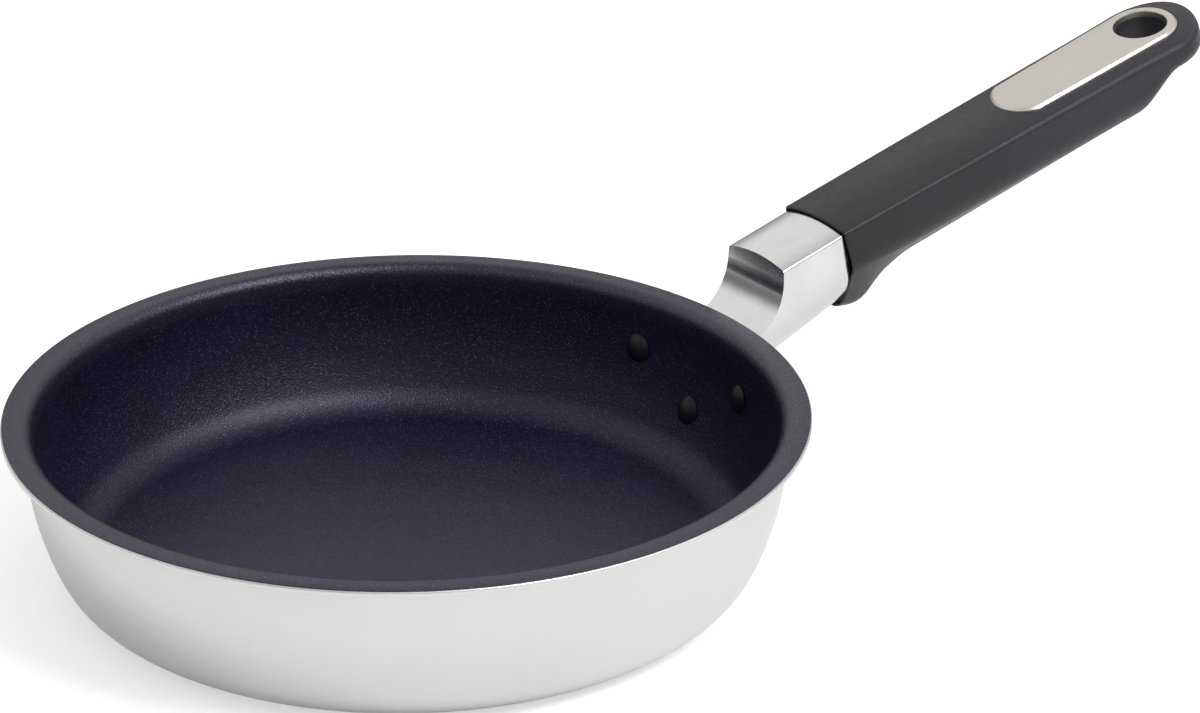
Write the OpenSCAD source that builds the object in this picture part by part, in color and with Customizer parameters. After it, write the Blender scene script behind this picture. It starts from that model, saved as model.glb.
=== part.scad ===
// Omelette pan: a coated aluminium pan with a polished cast bracket, three
// rivets and a black moulded grip that carries a metal inlay plate.
// Millimetres, +Z up, +X towards the handle. The origin is on the underside,
// at the centre of the base.

/* [Pan] */
// Diameter over the rim
rim_d = 240; // [200:1:280]
// Height from the underside to the top of the rim
pan_h = 52.5; // [48:0.5:65]
// How far the wall spreads from the edge of the flat underside up to its neck
wall_spread = 25.1; // [22:0.1:30]
// Thickness of the base
base_t = 6; // [3:0.5:8]
// Thickness of the wall
wall_t = 2.2; // [1.8:0.1:3]
// How far the lip stands out past the neck of the wall
lip_reach = 6.9; // [5:0.1:9]
// Thickness of the metal at the lip
lip_t = 1.8; // [1.4:0.1:2.4]
// Radius of the bend from the wall into the top of the lip
lip_bend_r = 3.6; // [3:0.1:4.5]
// Radius of the corner under the lip
lip_under_r = 1.4; // [0.8:0.1:2]
// Rounding along the outer edge of the lip
lip_edge_r = 0.5; // [0.2:0.1:0.6]
// Depth of the neck, where the wall stands upright, below the rim
neck_drop = 7.2; // [6:0.1:9]
// Outside radius from the base into the wall
corner_r = 19.4; // [14:0.1:21]
// Inside radius from the floor into the wall
inner_corner_r = 13; // [10:0.5:16]

/* [Coating] */
// Thickness of the non-stick layer
coat_t = 0.3; // [0.2:0.05:0.6]
// Fine gap that keeps the layer and the metal under it two separate solids
coat_gap = 0.02; // [0.01:0.01:0.04]

/* [Rivets] */
// Diameter of a rivet's shank
rivet_d = 5; // [4:0.1:6]
// Diameter of the domed head inside the pan
rivet_head_d = 9; // [8:0.1:11]
// Height of the domed head
rivet_head_h = 2.2; // [1.6:0.1:3]
// Diameter of the closed end outside
rivet_tail_d = 8; // [7:0.1:9]
// Height of the closed end
rivet_tail_h = 1.5; // [1:0.1:2]
// Angle from the handle to each upper rivet, seen from above
upper_rivet_turn = 13; // [11:0.1:14]
// Depth of the upper rivets below the rim
upper_rivet_drop = 18; // [16:0.5:20]
// Depth of the lower rivet below the rim
lower_rivet_drop = 31; // [29:0.5:33]
// Clearance round a shank and under a head
rivet_gap = 0.1; // [0.05:0.01:0.15]

/* [Bracket] */
// Rise of the handle above the level
handle_rise = 14; // [10:0.5:18]
// Thickness of the flange on the wall
flange_t = 4; // [3:0.1:5]
// Metal left round each rivet on the flange
flange_margin = 6.5; // [5.5:0.1:8]
// Clearance between the flange and the wall
flange_gap = 0.1; // [0.05:0.01:0.2]
// Half width of the neck block at its widest
neck_half_w = 13.9; // [13.5:0.1:14.5]
// Half width of the neck block along its top edges
neck_top_half_w = 13.4; // [12.4:0.1:13.5]
// Radius of the neck block's bulging sides
neck_side_r = 22; // [20:0.5:28]
// Radius of the neck block's rounded underside
neck_keel_r = 6; // [4:0.5:8]
// Depth of the neck block's underside below the handle line, at the grip
neck_keel_drop = 18.4; // [17:0.5:21]
// How far the spigot in the grip's mouth is drawn in from the neck block
spigot_inset = 2; // [1.5:0.1:2.5]
// Angle between the neck block's underside and the handle line
neck_keel_turn = 6.8; // [4:0.2:9]
// Height of the neck block's crown above the handle line
neck_top = 11.9; // [10.5:0.1:12.2]
// Radius of the neck block's crown, across the handle
neck_crown_r = 50; // [40:1:70]
// Radius of the hollow front face that clears the lip
front_r = 16.5; // [15:0.5:18]
// Distance from the rim to the front edge of the neck block, along the handle
front_edge = 17.3; // [17:0.1:20]
// Depth of the hollow's centre line below the crown
front_drop = 1.9; // [1:0.1:3]
// Distance from the rim to the start of the grip, along the handle
grip_start = 41.3; // [38:0.1:46]

/* [Tang] */
// Width of the tang inside the grip
tang_w = 15; // [12:0.5:17]
// Thickness of the tang
tang_t = 8; // [6:0.5:9]
// Depth of the tang's middle below the handle line
tang_drop = 2; // [1:0.5:4]
// Rounding along the tang's edges
tang_edge_r = 1.5; // [0.5:0.1:2.5]
// Distance from the rim to the end of the tang, along the handle
tang_end = 152; // [148:1:158]
// How far the neck block reaches into the grip's mouth
spigot_len = 6; // [4:0.5:8]
// Clearance between the metal and the grip round it
grip_gap = 0.15; // [0.1:0.05:0.2]

/* [Grip] */
// How much the grip dips below the neck block's line, in degrees
grip_dip = 1.1; // [0:0.1:2]
// Height of the grip's crown above the handle line
grip_top = 12.9; // [12.5:0.1:13.5]
// Radius of the grip's crown, across the handle
grip_crown_r = 60; // [50:1:90]
// Half width of the grip at its mouth
grip_front_half_w = 15.8; // [15:0.1:16.5]
// Half width of the grip's top at its mouth
grip_front_top_w = 14.2; // [13.5:0.1:14.8]
// Half width of the grip where the tail begins
grip_rear_half_w = 17.8; // [17:0.1:18.2]
// Half width of the grip's top where the tail begins
grip_rear_top_w = 16.6; // [15.8:0.1:17]
// Radius of the round tail
tail_r = 18; // [17.5:0.1:19]
// Radius of the round tail's top edge
tail_top_r = 16.8; // [16:0.1:17.4]
// Depth of the grip's underside
grip_low = 14.8; // [14:0.1:16]
// Radius of the grip's rounded underside
grip_keel_r = 9; // [7:0.5:11]
// Radius of the grip's lower side edges
grip_side_r = 8; // [6:0.5:10]
// Depth of the finger guard at the mouth of the grip
guard_low = 20.2; // [19:0.1:21]
// Depth of the finger guard at its lowest
guard_deep = 22.8; // [22:0.1:25]
// Distance from the mouth to the guard's lowest point
guard_peak = 7; // [6:0.5:11]
// Distance from the mouth to the end of the guard's slope
guard_len = 28; // [24:0.5:34]
// Distance from the rim to the centre of the hanging hole
hole_at = 183; // [180:0.5:186]
// Radius of the hanging hole
hole_r = 8.6; // [7:0.1:9]
// Distance from the centre of the hanging hole to the end of the grip
tail_reach = 19.6; // [19:0.2:23]
// Distance from the hanging hole back to where the underside starts to rise
bevel_before = 15; // [12:0.5:18]
// Length of the rise
bevel_len = 13; // [10:0.5:16]
// Depth of the tail's underside
tail_low = 1.5; // [0:0.1:4]
// Height of the tail's widest level over the handle line
tail_side_z = 6; // [3:0.1:7]
// Rounding of the tail's lower edge
tail_edge_r = 3.5; // [2:0.1:4.5]

/* [Inlay plate] */
// Half width of the plate
plate_half_w = 10.9; // [9.5:0.1:11.4]
// Thickness of the plate
plate_t = 2; // [1.6:0.1:2.4]
// Height of the plate's flat top over the grip's crown
plate_proud = 0.6; // [0.2:0.05:0.8]
// Width and drop of the bevel round the plate
plate_bevel = 0.9; // [0.4:0.1:1.2]
// Length of the plate from its front end to the centre of the hanging hole
plate_len = 62.4; // [58:0.2:66]
// Radius of the plate's bowed front end
plate_front_r = 12; // [11:0.5:18]
// Width of the ring of metal round the hanging hole
plate_ring = 3.5; // [2:0.1:4]
// Clearance round the plate in its recess
plate_gap = 0.12; // [0.08:0.02:0.2]
// Diameter of the plate's two studs
stud_d = 3; // [2:0.1:4]
// Length of the plate's studs
stud_len = 4; // [3:0.5:5]
// Distance from the plate's front end to its first stud
stud_inset = 9; // [7:0.5:12]
// Distance between the studs
stud_pitch = 31; // [29:0.5:34]
// Clearance under a stud
stud_room = 0.3; // [0.2:0.1:0.6]
// How much wider the plate's hole is than the hanging hole, on each side
plate_hole_gap = 0.2; // [0.1:0.05:0.4]

/* [Grip screw] */
// Diameter of the screw
screw_d = 5; // [4:0.1:6]
// Diameter of the screw's head
screw_head_d = 9.5; // [8.5:0.1:10.5]
// Height of the screw's head
screw_head_h = 3; // [2.5:0.1:3.5]
// Distance from the rim to the screw, along the handle
screw_at = 142; // [139:0.5:144]
// Clearance round the screw
screw_gap = 0.1; // [0.05:0.01:0.2]
// Free height over the screw's head, under the plate
head_room = 2.5; // [1:0.1:3]
// How far the screw reaches past the tang
screw_past = 1; // [0.5:0.1:2]
// Free depth past the tip of the screw
tip_room = 1; // [0.5:0.1:1.5]
// Width of the hexagonal socket over its corners
socket_d = 4.6; // [4:0.1:5.5]
// Metal left under the socket
socket_floor = 1; // [0.6:0.1:1.4]

/* [Hidden] */
$fn = 96;
far = 400;
eps = 0.01;

// Profile of the pan: an upright neck, a bulging side and a rounded corner,
// each arc tangent to the next
rim_r = rim_d / 2;
neck_r = rim_r - lip_reach;
neck_z = pan_h - neck_drop;
side_rise = neck_z - corner_r;
side_r = (pow(wall_spread, 2) + pow(side_rise, 2) - pow(corner_r, 2)) / (2 * (wall_spread - corner_r));
side_x = neck_r - side_r;
function side_angle(z) = asin((neck_z - z) / side_r);
function side_radius(z) = side_x + side_r * cos(side_angle(z));

// Bend of the lip
metal_top = pan_h - coat_t;
bend_x = neck_r - wall_t + lip_bend_r;
bend_z = metal_top - lip_bend_r;
lip_under_z = metal_top - lip_t;
lip_edge_x = rim_r - lip_edge_r;
corner_steps = 14;
side_steps = 12;
bend_steps = 8;
edge_steps = 5;

// Rivets: turn about the pan, height, and lean of the wall there
upper_rivet_z = pan_h - upper_rivet_drop;
lower_rivet_z = pan_h - lower_rivet_drop;
skin_t = wall_t + coat_t;
head_seat = rivet_gap + pow(rivet_head_d, 2) / 8 / side_r;
head_sphere_r = (pow(rivet_head_d / 2, 2) + pow(rivet_head_h, 2)) / (2 * rivet_head_h);
tail_sphere_r = (pow(rivet_tail_d / 2, 2) + pow(rivet_tail_h, 2)) / (2 * rivet_tail_h);
tail_seat = flange_gap + flange_t + rivet_gap;

// Flange: a shield round the three rivets
flange_y = side_radius(upper_rivet_z) * sin(upper_rivet_turn);
flange_top_z = upper_rivet_z + flange_margin;
flange_low_z = lower_rivet_z - flange_margin;

// Neck block
side_off = neck_side_r - neck_half_w;
keel_dist = neck_side_r - neck_keel_r;
keel_z = -sqrt(pow(keel_dist, 2) - pow(side_off, 2));
keel_cut = keel_z * neck_side_r / keel_dist;
keel_shift = neck_keel_r - keel_z - neck_keel_drop;
spigot_end = grip_start + spigot_len;
neck_root = -lip_reach - corner_r;
front_x = front_edge - front_r;
front_z = neck_top - front_drop;

// Grip, inlay plate and screw, along the grip's own line
guard_at = grip_start + guard_peak;
guard_end = grip_start + guard_len;
bevel_start = hole_at - bevel_before;
bevel_end = bevel_start + bevel_len;
tail_at = hole_at + tail_reach - tail_r;
plate_top = grip_top + plate_proud;
plate_seat = plate_top - plate_t;
plate_start = hole_at - plate_len;
plate_end_r = hole_r + plate_ring;
plate_hole_r = hole_r + plate_hole_gap;
stud_places = [plate_start + stud_inset, plate_start + stud_inset + stud_pitch];
ledge_z = plate_seat - screw_head_h - head_room;
screw_tip_z = -tang_drop - tang_t / 2 - screw_past;
slice_t = 0.1;

// A two-dimensional box from one corner to the other
module span(x1, y1, x2, y2) {
    translate([x1, y1]) square([x2 - x1, y2 - y1]);
}

// Points on an arc round a centre, from one angle to another
function arc(x, z, r, from, to, steps, first = 0) = [
    for (i = [first:steps]) let (a = from + (to - from) * i / steps) [x + r * cos(a), z + r * sin(a)]
];

function reversed(path) = [for (i = [len(path) - 1:-1:0]) path[i]];

// The pan's corner and side, moved inwards by inset, up from a floor at
// floor_z, with a corner of radius corner
function wall_path(inset, floor_z, corner) =
    let (
        reach = side_r - inset - corner,
        corner_z = floor_z + corner,
        join = -asin((neck_z - corner_z) / reach)
    )
    concat(
        arc(side_x + reach * cos(join), corner_z, corner, -90, join, corner_steps),
        arc(side_x, neck_z, side_r - inset, join, 0, side_steps, 1)
    );

// The surface that the food meets, drawn in by the thickness of a layer on it
function cavity_path(layer) = concat(
    [[0, base_t + layer]],
    wall_path(wall_t + layer, base_t + layer, inner_corner_r - layer),
    arc(bend_x, bend_z, lip_bend_r + layer, 180, 90, bend_steps)
);

// The pan's outside, from the middle of the base to the top of the lip's edge
function outside_path() = concat(
    [[0, 0]],
    wall_path(0, 0, corner_r),
    arc(neck_r + lip_under_r, lip_under_z - lip_under_r, lip_under_r, 180, 90, bend_steps),
    arc(lip_edge_x, lip_under_z + lip_edge_r, lip_edge_r, -90, 0, edge_steps),
    arc(lip_edge_x, metal_top - lip_edge_r, lip_edge_r, 0, 90, edge_steps)
);

module pan_metal() {
    rotate_extrude($fn = 240) polygon(concat(outside_path(), reversed(cavity_path(0))));
}

module lining_layer() {
    rotate_extrude($fn = 240) polygon(concat(
        cavity_path(coat_gap),
        [[lip_edge_x, metal_top + coat_gap], [lip_edge_x, pan_h]],
        reversed(cavity_path(coat_t))
    ));
}

// Puts a rivet's axis square to the outside of the wall, pointing outwards
module at_rivet(turn, z) {
    lean = side_angle(z);
    rotate([0, 0, turn])
        translate([side_radius(z), 0, z])
            rotate([0, 90 + lean, 0])
                children();
}

module rivet_places() {
    at_rivet(upper_rivet_turn, upper_rivet_z) children();
    at_rivet(-upper_rivet_turn, upper_rivet_z) children();
    at_rivet(0, lower_rivet_z) children();
}

module rivet_bores() {
    rivet_places()
        translate([0, 0, -2 * flange_t])
            cylinder(h = 5 * flange_t, r = rivet_d / 2 + rivet_gap, $fn = 48);
}

// A dome of a given footprint and height, standing on the plane z = 0
module dome(sphere_r, height) {
    intersection() {
        translate([0, 0, height - sphere_r]) sphere(sphere_r, $fn = 64);
        cylinder(h = height, r = sphere_r);
    }
}

module rivet(turn, z) {
    color("#2b2b33") at_rivet(turn, z) {
        translate([0, 0, -skin_t - head_seat])
            cylinder(h = skin_t + head_seat + tail_seat, r = rivet_d / 2, $fn = 48);
        translate([0, 0, -skin_t - head_seat]) mirror([0, 0, 1]) dome(head_sphere_r, rivet_head_h);
        translate([0, 0, tail_seat]) dome(tail_sphere_r, rivet_tail_h);
    }
}

// The handle's own frame: the rim's outermost point, x along the handle,
// z square to it
module on_handle() {
    translate([rim_r, 0, pan_h]) rotate([0, -handle_rise, 0]) children();
}

// A profile in y and z, run along x
module along(from, to) {
    translate([from, 0, 0]) rotate([90, 0, 90]) linear_extrude(to - from) children();
}

// A profile in x and z, run across the handle
module across(width) {
    rotate([90, 0, 0]) linear_extrude(width, center = true) children();
}

// The grip's own frame: it dips a little from the neck block's line
module on_grip() {
    on_handle() translate([grip_start, 0, 0]) rotate([0, grip_dip, 0])
        translate([-grip_start, 0, 0]) children();
}

// Where a crown of radius r lets the top of a piece reach, at a height top
module crown(top, r, from = -far, to = far) {
    along(from, to) translate([0, top - r]) circle(r, $fn = 192);
}

// Section of the neck block: sides that draw in to the top, bulge in below
// and meet in a rounded keel
module neck_section(inset) {
    top_w = neck_top_half_w - inset;
    wide = neck_half_w - inset;
    polygon([[-wide, 0], [wide, 0], [top_w, neck_top], [top_w, 2 * neck_top],
        [-top_w, 2 * neck_top], [-top_w, neck_top]]);
    intersection() {
        translate([-side_off, 0]) circle(neck_side_r - inset, $fn = 192);
        translate([side_off, 0]) circle(neck_side_r - inset, $fn = 192);
        span(-far, keel_cut, far, 0);
    }
    translate([0, keel_z]) circle(neck_keel_r - inset);
}

// The neck block's section run along its own keel, which rises more steeply
// than the handle, under the crown, between two distances along the handle
module neck_run(inset, from, to) {
    intersection() {
        translate([grip_start, 0, keel_shift]) rotate([0, -neck_keel_turn, 0])
            along(-far, far) neck_section(inset);
        crown(neck_top - inset, neck_crown_r, from, to);
    }
}

module rounded_rect(w, h, r) {
    square([w - 2 * r, h], center = true);
    square([w, h - 2 * r], center = true);
    for (side = [-1, 1], end = [-1, 1])
        translate([side * (w / 2 - r), end * (h / 2 - r)]) circle(r, $fn = 32);
}

// The tang, grown by a clearance
module tang(grow, to) {
    along(grip_start + spigot_len / 2, to) translate([0, -tang_drop])
        rounded_rect(tang_w + 2 * grow, tang_t + 2 * grow, tang_edge_r);
}

// Shield outline of the flange, in y and z: the hull of a disc round each rivet
module shield() {
    hull() {
        translate([flange_y, upper_rivet_z]) circle(flange_margin, $fn = 32);
        translate([-flange_y, upper_rivet_z]) circle(flange_margin, $fn = 32);
        translate([0, lower_rivet_z]) circle(flange_margin, $fn = 32);
    }
}

module flange() {
    intersection() {
        rotate_extrude($fn = 240) difference() {
            translate([side_x, neck_z]) circle(side_r + flange_gap + flange_t, $fn = 240);
            translate([side_x, neck_z]) circle(side_r - flange_t, $fn = 240);
            span(-far, -far, 0, far);
        }
        rotate([90, 0, 90]) linear_extrude(far) shield();
    }
}

// What the bracket has to clear: the pan's outside, grown by the flange's gap
module pan_clearance() {
    rotate_extrude($fn = 240) polygon(concat(
        [[0, -flange_gap]],
        wall_path(-flange_gap, -flange_gap, corner_r + flange_gap),
        [[neck_r + flange_gap, pan_h], [0, pan_h]]
    ));
}

// The hollow front of the neck block: a round face with room over it for the lip
module front_hollow() {
    translate([front_x, 0, front_z]) across(far) {
        circle(front_r, $fn = 160);
        span(-far, 0, front_r, far);
        span(-far, -front_r, 0, far);
    }
}

module handle_bracket() {
    color("#d9dadb") difference() {
        union() {
            flange();
            on_handle() difference() {
                neck_run(0, neck_root, grip_start);
                front_hollow();
            }
            on_handle() neck_run(spigot_inset, grip_start - eps, spigot_end);
            on_grip() tang(0, tang_end);
        }
        on_grip() translate([screw_at, 0, -tang_drop])
            cylinder(h = 2 * tang_t, r = screw_d / 2 + screw_gap, center = true);
        pan_clearance();
        rivet_bores();
    }
}

// The lower part of a slice of the grip: two round sides and a round underside
module grip_belly(at, half_w, low, side_z = 0, side_r = grip_side_r) {
    along(at, at + slice_t) {
        for (side = [-1, 1])
            translate([side * (half_w - side_r), side_z]) circle(side_r, $fn = 32);
        translate([0, grip_keel_r - low]) circle(grip_keel_r, $fn = 32);
    }
}

// The upper part: straight sides that draw in to the top
module grip_back(at, half_w, top_w, side_z = 0) {
    along(at, at + slice_t)
        polygon([[-half_w, side_z], [half_w, side_z], [top_w, grip_top], [-top_w, grip_top]]);
}

module mouth_slice(low) {
    grip_belly(grip_start, grip_front_half_w, low);
    grip_back(grip_start, grip_front_half_w, grip_front_top_w);
}

module tail_slice() {
    grip_belly(bevel_end, grip_rear_half_w, tail_low, tail_side_z, tail_edge_r);
    grip_back(bevel_end, grip_rear_half_w, grip_rear_top_w, tail_side_z);
}

// The round end of the tail: a disc with a rounded lower edge
module tail_disc() {
    for (lean = [0:22.5:90])
        translate([tail_at, 0, tail_side_z - tail_edge_r * sin(lean)])
            cylinder(h = slice_t, r = tail_r - tail_edge_r * (1 - cos(lean)), $fn = 64);
    translate([tail_at, 0, -tail_low]) cylinder(h = slice_t, r = grip_keel_r, $fn = 64);
    translate([tail_at, 0, grip_top]) cylinder(h = slice_t, r = tail_top_r, $fn = 64);
}

// One round slice of the finger guard's underside
module guard_disc(at, low) {
    along(at, at + slice_t) translate([0, grip_keel_r - low]) circle(grip_keel_r, $fn = 32);
}

module grip_shell() {
    hull() {
        mouth_slice(grip_low);
        grip_belly(bevel_start, grip_rear_half_w, grip_low);
        tail_slice();
    }
    hull() {
        tail_slice();
        tail_disc();
    }
    hull() {
        mouth_slice(guard_low);
        guard_disc(guard_at, guard_deep);
        guard_disc(guard_end, grip_low);
    }
}

// Plan of the inlay plate, grown by a clearance
module plate_plan(grow) {
    front = plate_start - grow;
    half = plate_half_w + grow;
    end_r = plate_end_r + grow;
    intersection() {
        polygon([[front, -half], [hole_at, -end_r], [hole_at, end_r], [front, half]]);
        union() {
            translate([plate_start + plate_front_r, 0]) circle(plate_front_r + grow);
            span(plate_start + plate_front_r, -far, far, far);
        }
    }
    translate([hole_at, 0]) circle(end_r);
}

module hanging_bore(r) {
    translate([hole_at, 0, -far / 2]) cylinder(h = far, r = r);
}

module grip() {
    color("#3a3b3f") difference() {
        on_grip() grip_blank();
        on_handle() neck_run(spigot_inset - grip_gap, grip_start - grip_gap, spigot_end + grip_gap);
    }
}

module grip_blank() {
    difference() {
        intersection() {
            grip_shell();
            crown(grip_top, grip_crown_r);
        }
        translate([0, 0, plate_seat]) linear_extrude(far) plate_plan(plate_gap);
        tang(grip_gap, tang_end + grip_gap);
        hanging_bore(hole_r);
        for (place = stud_places)
            translate([place, 0, plate_seat - stud_len - stud_room])
                cylinder(h = far, r = stud_d / 2 + plate_gap, $fn = 32);
        translate([screw_at, 0, ledge_z]) cylinder(h = far, r = screw_head_d / 2 + screw_gap);
        translate([screw_at, 0, screw_tip_z - tip_room]) cylinder(h = far, r = screw_d / 2 + screw_gap);
    }
}

module grip_screw() {
    color("#8c8f94") on_grip() translate([screw_at, 0, 0]) difference() {
        union() {
            translate([0, 0, screw_tip_z]) cylinder(h = ledge_z - screw_tip_z + eps, r = screw_d / 2);
            translate([0, 0, ledge_z]) cylinder(h = screw_head_h, r = screw_head_d / 2);
        }
        translate([0, 0, ledge_z + socket_floor]) cylinder(h = far, r = socket_d / 2, $fn = 6);
    }
}

module inlay_plate() {
    color("#c9c4bb") on_grip() difference() {
        union() {
            hull() {
                translate([0, 0, plate_seat])
                    linear_extrude(plate_t - plate_bevel) plate_plan(0);
                translate([0, 0, plate_seat]) linear_extrude(plate_t) plate_plan(-plate_bevel);
            }
            for (place = stud_places)
                translate([place, 0, plate_seat - stud_len])
                    cylinder(h = stud_len + plate_t / 2, r = stud_d / 2, $fn = 32);
        }
        hanging_bore(plate_hole_r);
    }
}

module pan_body() {
    color("#d3d4d5") difference() {
        pan_metal();
        rivet_bores();
    }
}

module nonstick_lining() {
    color("#23222d") difference() {
        lining_layer();
        rivet_bores();
    }
}

pan_body();
nonstick_lining();
handle_bracket();
rivet(upper_rivet_turn, upper_rivet_z);  // rivet_left
rivet(-upper_rivet_turn, upper_rivet_z);  // rivet_right
rivet(0, lower_rivet_z);  // rivet_lower
grip();
grip_screw();
inlay_plate();
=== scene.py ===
# %% [markdown]
# # An omelette pan, from the pressed bowl to the hanging hole
# The pan is a shallow aluminium pressing with a black non-stick coat, three rivets,
# a polished cast neck and a moulded grip with a metal plate let into its top.
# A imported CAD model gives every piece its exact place. This lesson gives the pieces
# the soft edges, the surfaces and the light that a photograph of the pan shows.

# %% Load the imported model
from math import acos, asin, atan2, cos, degrees, hypot, pi, radians, sin, sqrt, tan

import bpy
from mathutils import Matrix, Vector


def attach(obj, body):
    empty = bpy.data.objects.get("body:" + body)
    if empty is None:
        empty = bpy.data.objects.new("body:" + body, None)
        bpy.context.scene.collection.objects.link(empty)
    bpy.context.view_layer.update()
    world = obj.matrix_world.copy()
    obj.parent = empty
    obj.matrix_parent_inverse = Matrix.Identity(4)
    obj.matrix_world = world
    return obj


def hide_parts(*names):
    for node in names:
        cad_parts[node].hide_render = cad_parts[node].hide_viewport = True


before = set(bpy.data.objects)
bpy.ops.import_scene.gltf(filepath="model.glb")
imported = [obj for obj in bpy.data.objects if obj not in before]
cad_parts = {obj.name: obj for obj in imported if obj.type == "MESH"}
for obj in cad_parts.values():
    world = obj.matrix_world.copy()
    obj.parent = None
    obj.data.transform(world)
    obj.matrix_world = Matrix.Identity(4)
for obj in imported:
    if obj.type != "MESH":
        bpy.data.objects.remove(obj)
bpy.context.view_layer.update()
print("CAD nodes:", ", ".join(sorted(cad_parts)))

# %% [markdown]
# ## The sizes of the pan
# All sizes are in millimetres, as on a drawing, and MM turns them into metres.
# They are those of the CAD model, because each new piece stands where its node stands.
# Four forms go a little their own way, to follow the photograph more closely: the slope
# of the lip's top, the hollow of the neck, the finger guard and the mouth of the grip.
# The wall is one bulging arc that ends upright in the neck, under a flared lip.

# %% Sizes of the bowl
MM = 0.001
# The bowl: radius of the rim, height, thickness of the base and of the wall
RIM_R, PAN_H, BASE_T, WALL_T = 120, 52.5, 6, 2.2
# The lip: reach, thickness, the bends over and under it, round edge, fall of its top
LIP_REACH, LIP_T, LIP_BEND, LIP_UNDER, LIP_EDGE, LIP_DROP = 6.9, 1.8, 3.6, 1.4, 0.5, 0.3
# How far under the rim the wall stands upright, then the coat's top and underside
NECK_DEPTH = 7.2
COAT, COAT_GAP = 0.3, 0.02
# The corner outside and inside, and how far the wall spreads past the flat base
CORNER, INNER_CORNER, SPREAD = 19.4, 13, 25.1
NECK_R, NECK_Z = RIM_R - LIP_REACH, PAN_H - NECK_DEPTH
METAL_TOP = PAN_H - COAT
SIDE_R = (SPREAD**2 + (NECK_Z - CORNER) ** 2 - CORNER**2) / (2 * (SPREAD - CORNER))
SIDE_X = NECK_R - SIDE_R
print(f"the wall's bulge has a radius of {SIDE_R:.1f} mm")


def arc(x, z, r, start, end, steps):
    """Points on an arc round (x, z), from one angle to another, in degrees."""
    turns = [radians(start + (end - start) / steps * i) for i in range(steps + 1)]
    return [(x + r * cos(a), z + r * sin(a)) for a in turns]


def wall_path(inset, floor_z, corner):
    """The corner and the side of the bowl, moved inwards by inset."""
    reach = SIDE_R - inset - corner
    join = -degrees(asin((NECK_Z - floor_z - corner) / reach))
    corner_x = SIDE_X + reach * cos(radians(join))
    side = arc(SIDE_X, NECK_Z, SIDE_R - inset, join, 0, 22)
    return arc(corner_x, floor_z + corner, corner, -90, join, 16) + side[1:]


def cavity_path(layer):
    """The inside of the bowl, from the middle of the floor out over the lip."""
    wall = wall_path(WALL_T + layer, BASE_T + layer, INNER_CORNER - layer)
    bend_x = NECK_R - WALL_T + LIP_BEND
    bend = arc(bend_x, METAL_TOP - LIP_BEND, LIP_BEND + layer, 180, 90, 12)
    return [(0, BASE_T + layer)] + wall + bend


# %% [markdown]
# ## Small helpers for work by hand
# Every operator acts on what is selected, so each step starts by selecting one object only.
# Modifiers are applied at once: a finished piece is a plain mesh with its place in it.

# %% Selecting, applying and cutting
def pick(obj):
    """Selects obj and nothing else."""
    bpy.ops.object.select_all(action="DESELECT")
    obj.select_set(True)
    bpy.context.view_layer.objects.active = obj
    return obj


def edit(obj, mode="VERT"):
    """Opens obj in edit mode with everything in it selected."""
    pick(obj)
    bpy.ops.object.mode_set(mode="EDIT")
    bpy.ops.mesh.select_mode(type=mode)
    bpy.ops.mesh.select_all(action="SELECT")


def close_edit():
    """Goes back from edit mode to object mode."""
    bpy.ops.object.mode_set(mode="OBJECT")


def turn_outwards():
    """Turns every face of the open mesh outwards, and leaves edit mode."""
    bpy.ops.mesh.select_all(action="SELECT")
    bpy.ops.mesh.normals_make_consistent(inside=False)
    close_edit()


def modify(obj, kind, **settings):
    """Adds a modifier with these settings and applies it."""
    pick(obj)
    modifier = obj.modifiers.new(kind.title(), kind)
    for key, value in settings.items():
        setattr(modifier, key, value)
    bpy.ops.object.modifier_apply(modifier=modifier.name)


def cut(obj, tool, operation="DIFFERENCE"):
    """Cuts, joins or crosses obj with a tool body, which is used up."""
    modify(obj, "BOOLEAN", object=tool, operation=operation, solver="EXACT")
    bpy.data.objects.remove(tool)


def merge_slivers(obj):
    """Takes out the edges of no length that a cut can leave."""
    edit(obj)
    bpy.ops.mesh.dissolve_degenerate(threshold=1e-3)
    close_edit()


def smooth(obj, angle):
    """Shades obj smooth, but for edges sharper than this angle in degrees."""
    pick(obj)
    bpy.ops.object.shade_smooth_by_angle(angle=radians(angle))


def place(obj, matrix):
    """Moves a piece that was made in millimetres to its place, in its mesh."""
    obj.data.transform(matrix)
    obj.data.update()


def shift(x, y, z):
    """A matrix that only moves."""
    return Matrix.Translation((x, y, z))


# %% [markdown]
# ## Three ways to start a shape
# A turned piece starts as a ring of corners pulled onto its outline, which is then spun.
# A cut from a plate starts the same way, is filled, and is extruded to its thickness.
# A moulded body starts as a flat grid: each row of corners takes one cross-section,
# and the two long edges meet in a tube.

# %% Spin, extrude, drill and loft
def outline_ring(name, points, flat):
    """A ring with one corner for each point. flat(a, b) says where a point goes."""
    bpy.ops.object.select_all(action="DESELECT")
    bpy.ops.mesh.primitive_circle_add(vertices=len(points), radius=1)
    obj = bpy.context.object
    obj.name = obj.data.name = name
    for vertex, point in zip(obj.data.vertices, points):
        vertex.co = flat(*point)
    return obj


def spun(name, points, steps=240):
    """An outline of radii and heights spun about Z and closed at the axis."""
    obj = outline_ring(name, points, lambda r, z: (r, 0, z))
    edit(obj)
    bpy.ops.mesh.spin(steps=steps, angle=2 * pi, center=(0, 0, 0), axis=(0, 0, 1))
    bpy.ops.mesh.select_all(action="SELECT")
    bpy.ops.mesh.remove_doubles(threshold=1e-4)
    bpy.ops.mesh.delete_loose()
    turn_outwards()
    return obj


def extruded(name, points, flat, depth):
    """A filled outline extruded by the vector depth."""
    obj = outline_ring(name, points, flat)
    edit(obj, "EDGE")
    bpy.ops.mesh.edge_face_add()
    bpy.ops.mesh.extrude_region_move(TRANSFORM_OT_translate={"value": depth})
    turn_outwards()
    return obj


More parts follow.
